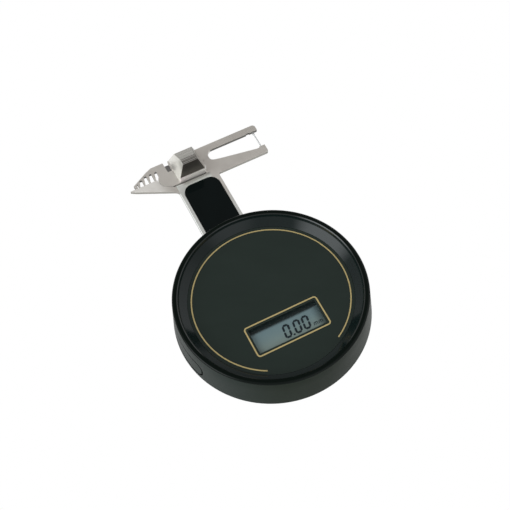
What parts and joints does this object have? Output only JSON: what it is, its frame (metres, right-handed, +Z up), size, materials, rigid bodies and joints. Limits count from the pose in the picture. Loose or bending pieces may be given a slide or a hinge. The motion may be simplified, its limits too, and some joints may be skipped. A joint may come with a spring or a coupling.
{
  "type": "digital gemstone gauge",
  "caption": "Round black digital gauge with a recessed dial and display, a flat neck, a comb jaw, a measuring fork with a probe pin and a ribbed thumb slide.",
  "frame": {"origin": "middle of the round case on the plane that the gauge rests on", "axes": "+Y from the case along the neck to the jaws, +X towards the fork side, +Z up out of the dial"},
  "size_m": [0.0642, 0.1016, 0.0128],
  "materials": {
    "case_plastic": "moulded black plastic, satin wall, glossy rim and bevel",
    "back_plate": "satin dark grey",
    "screw_steel": "zinc plated",
    "dial_gloss": "glossy dark grey-green print",
    "gold_foil": "pale gold foil",
    "clear_window": "clear, polished",
    "lcd_glass": "grey liquid crystal panel",
    "pale_plastic": "moulded pale plastic",
    "zebra_rubber": "layered elastomer",
    "board_green": "glass fibre board with green solder mask",
    "black_plastic": "moulded black plastic",
    "tin_metal": "tinned metal",
    "ceramic_tan": "ceramic",
    "contact_brass": "sprung contact alloy",
    "drawer_plastic": "satin moulded plastic, as the case wall",
    "cell_steel": "nickel plated can",
    "neck_steel": "polished rails, satin jaws",
    "inlay_black": "high gloss black",
    "bar_steel": "ground steel",
    "scale_board": "scale film with copper fields",
    "pin_steel": "ground steel pin",
    "spring_steel": "spring wire",
    "jaw_steel": "satin steel plate",
    "block_metal": "satin nickel"
  },
  "bodies": {
    "case": {"front_case": "case_plastic", "back_cover": "back_plate", "case_screws": "screw_steel", "face_panel": "dial_gloss", "dial_ring": "gold_foil", "display_frame": "gold_foil", "display_window": "clear_window", "lcd_panel": "lcd_glass", "lcd_holder": "pale_plastic", "contact_strip": "zebra_rubber", "main_board": "board_green", "controller_chip": "black_plastic", "timing_crystal": "tin_metal", "board_capacitors": "ceramic_tan", "board_screws": "screw_steel", "plus_contact": "contact_brass", "minus_contact": "contact_brass", "button_switch": "black_plastic", "jaw_frame": "neck_steel", "frame_screws": "screw_steel", "neck_cover": "inlay_black", "sensor_board": "board_green", "board_header": "black_plastic", "board_spacers": "pale_plastic", "stop_pin": "pin_steel", "fixed_spring_post": "contact_brass", "return_spring": "spring_steel"},
    "slide": {"slide_bar": "bar_steel", "scale_strip": "scale_board", "moving_spring_post": "contact_brass", "moving_jaw": "jaw_steel", "thumb_block": "block_metal", "block_screws": "screw_steel", "probe_pin": "pin_steel"},
    "drawer": {"battery_drawer": "drawer_plastic", "coin_cell": "cell_steel"},
    "button": {"zero_button": "black_plastic"}
  },
  "joints": [
    {"name": "jaw_slide", "type": "slide", "parent": "case", "child": "slide", "axis": [0, 1, 0], "range_m": [0, 0.025], "stiffness_N_per_m": 20, "springref_m": -0.03, "deforming": ["return_spring"]},
    {"name": "battery_drawer_slide", "type": "slide", "parent": "case", "child": "drawer", "axis": [-1, 0, 0], "range_m": [0, 0.022]},
    {"name": "zero_press", "type": "slide", "parent": "case", "child": "button", "axis": [-0.866, -0.5, 0], "range_m": [0, 0.0004], "stiffness_N_per_m": 500, "springref_m": -0.0004}
  ]
}
